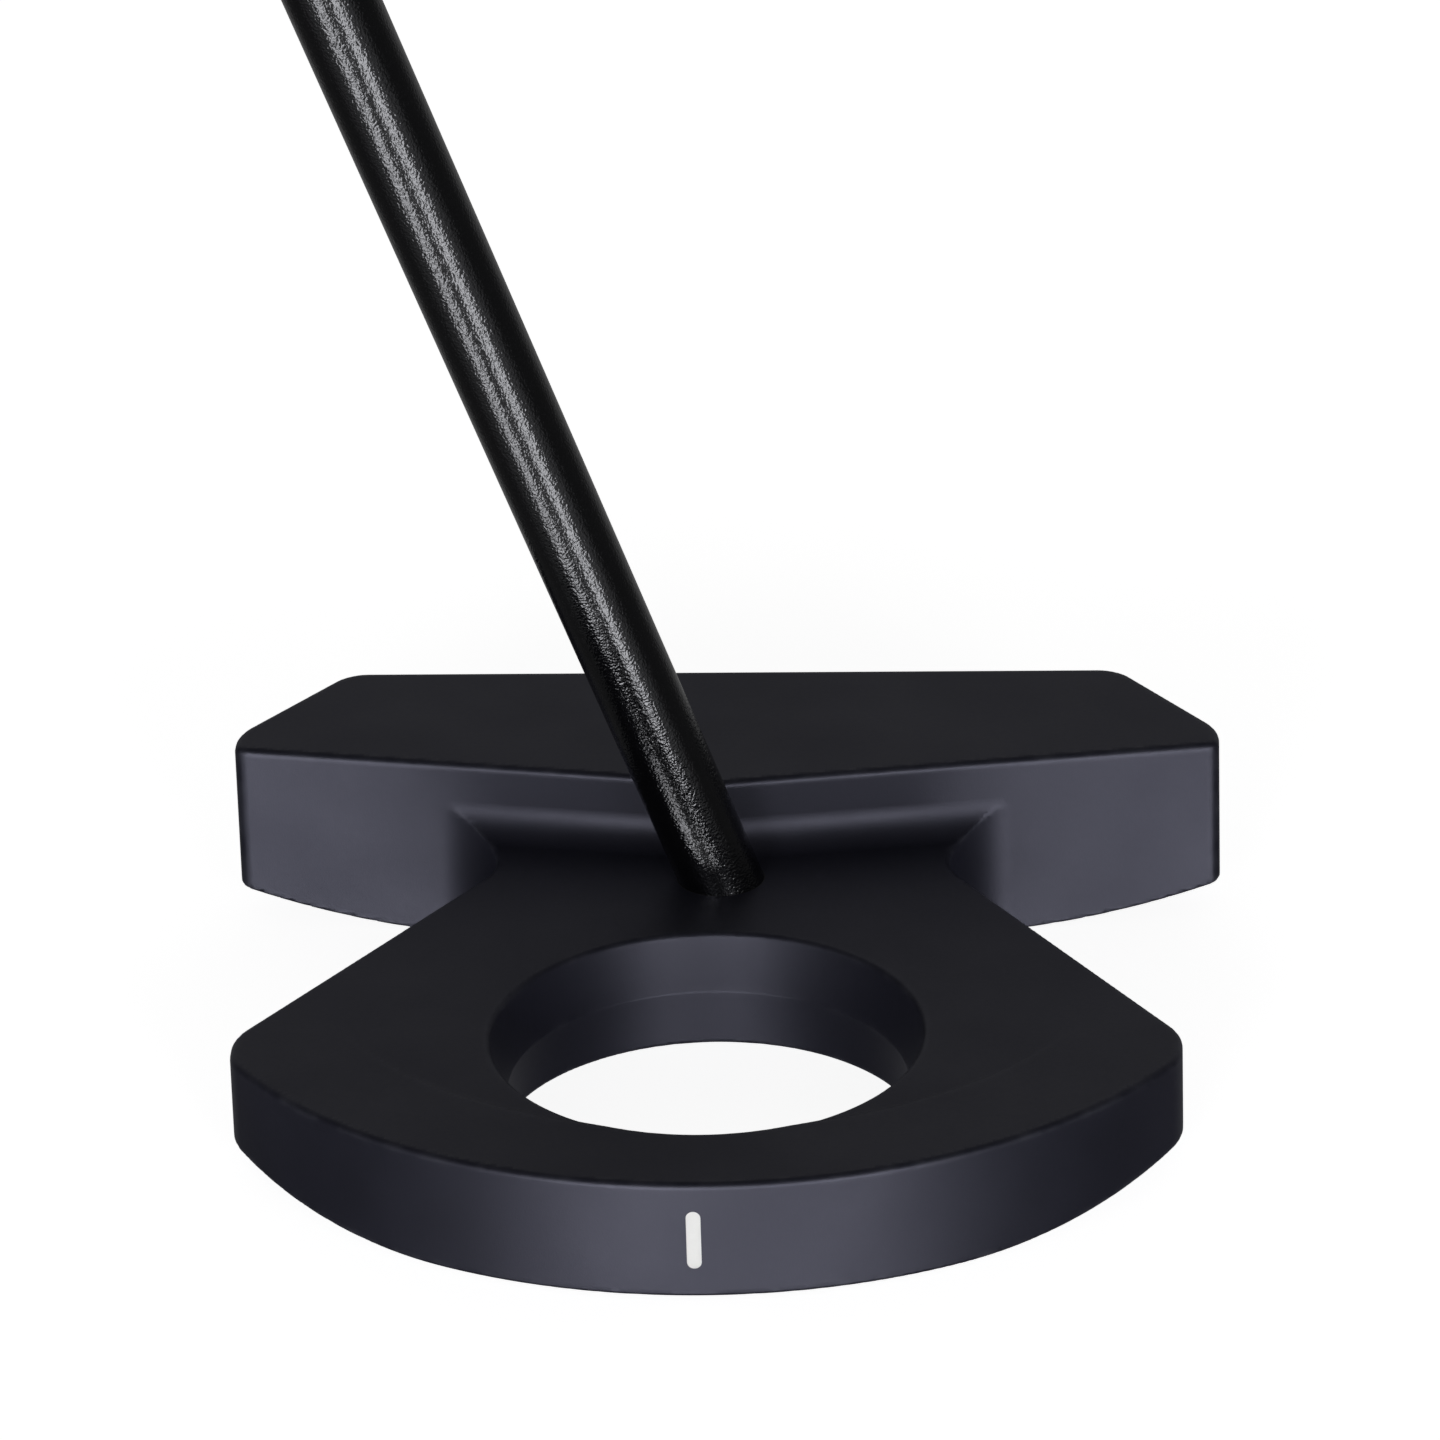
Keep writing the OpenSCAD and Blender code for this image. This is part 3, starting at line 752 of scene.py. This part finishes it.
class Nodes:
    """Builds a node tree; each call returns the new node's output, ready to be an input of the next."""

    def __init__(self, tree):
        self.tree = tree

    def add(self, kind, settings=None, inputs=None, output=0):
        node = self.tree.nodes.new(kind)
        for name, value in (settings or {}).items():
            setattr(node, name, value)
        for name, value in (inputs or {}).items():
            self.put(value, node.inputs[name])
        return node.outputs[output]

    def put(self, value, socket):
        if isinstance(value, bpy.types.NodeSocket):
            self.tree.links.new(value, socket)
        else:
            socket.default_value = value

    def place(self, stretch=(1, 1, 1)):
        """Position in the frame, in millimetres, stretched along each axis."""
        position = self.add("ShaderNodeTexCoord", output=3)
        scale = [k / MM for k in stretch]
        return self.add("ShaderNodeVectorMath", {"operation": "MULTIPLY"}, {0: position, 1: scale})

    def noise(self, size, detail=2.0, place=None):
        """Noise from 0 to 1 whose features are about size millimetres."""
        inputs = {"Vector": place or self.place(), "Scale": 1 / size, "Detail": detail}
        return self.add("ShaderNodeTexNoise", None, inputs)

    def cells(self, size, feature="F1"):
        """Distance from the middle of the nearest of many cells, each about size millimetres wide."""
        settings = {"feature": feature}
        return self.add("ShaderNodeTexVoronoi", settings, {"Vector": self.place(), "Scale": 1 / size})

    def value(self, name):
        """The mesh attribute of that name."""
        return self.add("ShaderNodeAttribute", {"attribute_name": name}, output=2)

    def math(self, operation, a, b=0.0):
        return self.add("ShaderNodeMath", {"operation": operation}, {0: a, 1: b})

    def spread(self, value, low, high, start=0.0, end=1.0, soft=False):
        """value from start to end, as a number from low to high."""
        settings = {"interpolation_type": "SMOOTHSTEP" if soft else "LINEAR"}
        return self.add(
            "ShaderNodeMapRange",
            settings,
            {"Value": value, "From Min": start, "From Max": end, "To Min": low, "To Max": high},
        )

    def blend(self, share, first, second):
        """The colour first where share is 0 and second where it is 1."""
        colours = [(*c, 1) if isinstance(c, tuple) else c for c in (first, second)]
        inputs = {0: share, 6: colours[0], 7: colours[1]}
        return self.add("ShaderNodeMix", {"data_type": "RGBA"}, inputs, output=2)

    def bump(self, height, depth, under=None):
        """Relief from a height between 0 and 1, depth in millimetres."""
        inputs = {"Height": height, "Distance": depth * MM, "Strength": 1.0}
        if under:
            inputs["Normal"] = under
        return self.add("ShaderNodeBump", None, inputs)


def make_material(name, describe, **fixed):
    """A Principled material. describe(nodes) gives its varying inputs, and fixed holds the uniform ones."""
    material = bpy.data.materials.new(name)
    material.use_nodes = True
    nodes = Nodes(material.node_tree)
    shader = material.node_tree.nodes["Principled BSDF"]
    for socket, value in {**fixed, **describe(nodes)}.items():
        nodes.put(value, shader.inputs[socket.replace("_", " ")])
    return material


def anodised(n):
    """Bead-blasted aluminium, dyed black: fine even grain, faint clouds, slightly polished edges."""
    grain, cloud, edge = n.noise(0.22, 3), n.noise(14, 3), n.value("edge")
    dye = n.blend(n.spread(cloud, 0.0, 1.0, 0.3, 0.7), (0.0016, 0.0018, 0.0052), (0.0028, 0.003, 0.0075))
    worn = n.math("MULTIPLY", edge, n.spread(n.noise(2.5, 4), 0.0, 0.5, 0.42, 0.7))
    roughness = n.math("ADD", n.spread(cloud, 0.5, 0.56, 0.3, 0.7), n.spread(n.noise(0.6, 2), -0.03, 0.03))
    return {
        "Base Color": n.blend(worn, dye, (0.03, 0.031, 0.038)),
        "Roughness": n.math("SUBTRACT", roughness, n.math("MULTIPLY", edge, 0.04)),
        "Normal": n.bump(grain, 0.010),
    }


def speckled_paint(n):
    """Black coat over blasted steel: its fine grain breaks up every highlight."""
    grain, patch = n.noise(0.3, 1), n.noise(9, 3)
    peaks = n.spread(grain, 0.0, 1.0, 0.5, 0.8)
    return {
        "Base Color": n.blend(peaks, (0.001, 0.001, 0.0012), (0.003, 0.003, 0.0035)),
        "Roughness": n.spread(patch, 0.1, 0.14, 0.3, 0.7),
        "Normal": n.bump(grain, 0.055),
    }


def milled_steel(n):
    """Dark plate with fine cutter lines across it."""
    lines = n.noise(0.12, 3, n.place((0.02, 1, 1)))
    return {
        "Base Color": n.blend(n.noise(6, 3), (0.045, 0.046, 0.05), (0.075, 0.076, 0.08)),
        "Roughness": n.spread(lines, 0.24, 0.4, 0.3, 0.7),
        "Normal": n.bump(lines, 0.006),
    }


def turned_steel(n):
    """Dark steel with the rings that a lathe leaves."""
    rings = n.math("SINE", n.math("MULTIPLY", n.value("reach"), 34.0))
    lines = n.spread(rings, 0.0, 1.0, -1.0, 1.0)
    return {
        "Base Color": n.blend(n.noise(1.5, 3), (0.1, 0.1, 0.105), (0.15, 0.15, 0.155)),
        "Roughness": n.math("ADD", n.spread(lines, 0.24, 0.34), n.spread(n.noise(0.4), -0.04, 0.04)),
        "Normal": n.bump(lines, 0.004),
    }


def white_paint(n):
    relief = n.noise(0.25, 2)
    return {
        "Base Color": n.blend(n.noise(0.8, 3), (0.82, 0.82, 0.81), (0.9, 0.9, 0.89)),
        "Roughness": n.spread(relief, 0.35, 0.55),
        "Normal": n.bump(relief, 0.008),
    }


def black_epoxy(n):
    relief = n.noise(0.7, 3)
    return {
        "Base Color": n.blend(relief, (0.012, 0.012, 0.013), (0.03, 0.03, 0.032)),
        "Roughness": n.spread(relief, 0.3, 0.5),
        "Normal": n.bump(relief, 0.03),
    }


def cork(n):
    crumbs, relief = n.cells(0.8), n.noise(0.5, 4)
    gaps = n.spread(crumbs, 0.0, 1.0, 0.1, 0.8)
    return {
        "Base Color": n.blend(gaps, (0.32, 0.2, 0.1), (0.16, 0.09, 0.045)),
        "Roughness": n.spread(relief, 0.7, 0.95),
        "Normal": n.bump(crumbs, 0.08),
    }


def paper_tape(n):
    fibres = n.noise(0.25, 4, n.place((1, 1, 0.3)))
    return {
        "Base Color": n.blend(fibres, (0.62, 0.6, 0.53), (0.8, 0.79, 0.73)),
        "Roughness": n.spread(fibres, 0.65, 0.85),
        "Normal": n.bump(fibres, 0.02),
    }


def foam(n):
    cells = n.cells(0.35)
    return {
        "Base Color": n.blend(n.noise(4, 2), (0.05, 0.05, 0.053), (0.09, 0.09, 0.095)),
        "Roughness": n.spread(cells, 0.75, 0.95),
        "Normal": n.bump(cells, 0.12),
    }


def polyurethane_skin(n):
    """Leather-like skin: fine pebbled grain over slow changes of shade."""
    pebbles, fine = n.cells(0.55, "SMOOTH_F1"), n.noise(0.12, 3)
    relief = n.bump(fine, 0.015, n.bump(pebbles, 0.09))
    return {
        "Base Color": n.blend(n.noise(18, 3), (0.016, 0.016, 0.0175), (0.028, 0.028, 0.03)),
        "Roughness": n.spread(pebbles, 0.5, 0.68, 0.0, 0.8),
        "Normal": relief,
    }


def rubber(n):
    relief = n.noise(0.3, 3)
    return {
        "Base Color": n.blend(n.noise(6, 3), (0.012, 0.012, 0.013), (0.022, 0.022, 0.023)),
        "Roughness": n.spread(relief, 0.55, 0.75),
        "Normal": n.bump(relief, 0.02),
    }


# ---------- camera, floor and light ----------


def make_camera():
    """A long lens behind the head and above it, aimed down so that the head stands low in the picture."""
    camera = bpy.data.objects.new("camera", bpy.data.cameras.new("camera"))
    bpy.context.scene.collection.objects.link(camera)
    camera.data.sensor_width = 36
    camera.data.lens = 241.86
    camera.data.clip_start, camera.data.clip_end = 0.05, 20
    right = (0.99874083, 0.04219792, -0.02713098)
    up = (0.005883, 0.43856417, 0.89868062)
    back = (0.04982112, -0.89770864, 0.4377637)
    place = (0.05510, -0.98519, 0.51426)
    rows = [[*directions, spot] for *directions, spot in zip(right, up, back, place)]
    camera.matrix_world = Matrix([*rows, [0, 0, 0, 1]])
    bpy.context.scene.camera = camera


def make_floor():
    """A white sheet that glows a little, as on a light table, so that it stays pale."""
    size = 4.0
    corners = [(x * size, y * size, 0) for x, y in ((-1, -1), (1, -1), (1, 1), (-1, 1))]
    mesh = bpy.data.meshes.new("floor")
    mesh.from_pydata(corners, [], [(0, 1, 2, 3)])
    floor = bpy.data.objects.new("floor", mesh)
    bpy.context.scene.collection.objects.link(floor)
    floor.visible_glossy = False
    material = bpy.data.materials.new("white_sheet")
    material.use_nodes = True
    shader = material.node_tree.nodes["Principled BSDF"]
    shader.inputs["Base Color"].default_value = (0.8, 0.8, 0.8, 1)
    shader.inputs["Roughness"].default_value = 0.9
    shader.inputs["Emission Color"].default_value = (1, 1, 1, 1)
    shader.inputs["Emission Strength"].default_value = 0.9
    mesh.materials.append(material)


def make_dome():
    """Soft studio light: two low soft boxes behind the camera, a faint glow round them and a dim far wall."""
    world = bpy.data.worlds.new("studio_dome")
    bpy.context.scene.world = world
    world.use_nodes = True
    n = Nodes(world.node_tree)
    split = n.tree.nodes.new("ShaderNodeSeparateXYZ")
    n.put(n.add("ShaderNodeTexCoord"), split.inputs[0])
    x, y, z = split.outputs
    azimuth = n.math("ARCTAN2", x, n.math("MULTIPLY", y, -1.0))

    def box(middle, half, fade, strength):
        off = n.math("ABSOLUTE", n.math("SUBTRACT", azimuth, math.radians(middle)))
        return n.spread(off, strength, 0.0, math.radians(half), math.radians(half + fade), soft=True)

    boxes = n.math("ADD", n.math("ADD", box(-15.5, 5, 6, 6.7), box(24.5, 4, 6, 6.3)), box(0, 40, 32, 0.36))
    lower, upper = n.spread(z, 0, 1, -0.93, -0.17, soft=True), n.spread(z, 1, 0, 0.26, 0.4, soft=True)
    band = n.math("MULTIPLY", lower, upper)
    behind = n.spread(n.math("ABSOLUTE", azimuth), 0.0, 0.15, math.radians(110), math.radians(150), soft=True)
    far_wall = n.math("MULTIPLY", behind, n.spread(z, 1, 0, 0.6, 0.9, soft=True))
    light = n.math("ADD", n.math("ADD", n.math("MULTIPLY", boxes, band), far_wall), 0.058)
    background = world.node_tree.nodes["Background"]
    n.put((1, 1, 1, 1), background.inputs["Color"])
    n.put(light, background.inputs["Strength"])


# ---------- assembly ----------

make_camera()
make_floor()
make_dome()
bpy.context.scene.view_settings.view_transform = "Standard"

BLUE_SHEEN = (0.78, 0.785, 1.0, 1)
COOL_SHEEN = (0.94, 0.95, 1.0, 1)
MATERIALS = {
    "anodised_black": make_material("anodised_black", anodised, IOR=1.88, Specular_Tint=BLUE_SHEEN),
    "insert_steel": make_material("insert_steel", milled_steel, Metallic=0.85),
    "bonding": make_material("bonding", black_epoxy),
    "white_fill": make_material("white_fill", white_paint),
    "weight_steel": make_material("weight_steel", turned_steel, Metallic=0.9),
    "shaft_black": make_material("shaft_black", speckled_paint, IOR=1.73, Specular_Tint=COOL_SHEEN),
    "tip_plug": make_material("tip_plug", cork),
    "grip_tape": make_material("grip_tape", paper_tape),
    "grip_foam": make_material("grip_foam", foam),
    "grip_skin": make_material("grip_skin", polyurethane_skin),
    "grip_rubber": make_material("grip_rubber", rubber),
}

pieces = [
    (make_head(), "head_body"),
    (make_insert(), "face_insert"),
    (make_mark(), "sight_mark"),
    (make_shaft(), "shaft"),
    (make_skin(), "grip_skin"),
    (make_collar(), "grip_collar"),
    (make_cap(), "grip_cap"),
    *[make_plug(index, side) for index in range(len(WEIGHTS)) for side in (1, -1)],
]
slots = {part["node"]: part["material_slot"] for part in frame["record"]["subparts"]}
for piece, node in pieces:
    finish_piece(piece, node, MATERIALS[slots[node]])
for node in ("face_insert_tape", "shaft_bond", "shaft_tip_plug", "grip_tape", "grip_core"):
    kept = frame["nodes"][node]
    kept.data.materials.clear()
    kept.data.materials.append(MATERIALS[slots[node]])
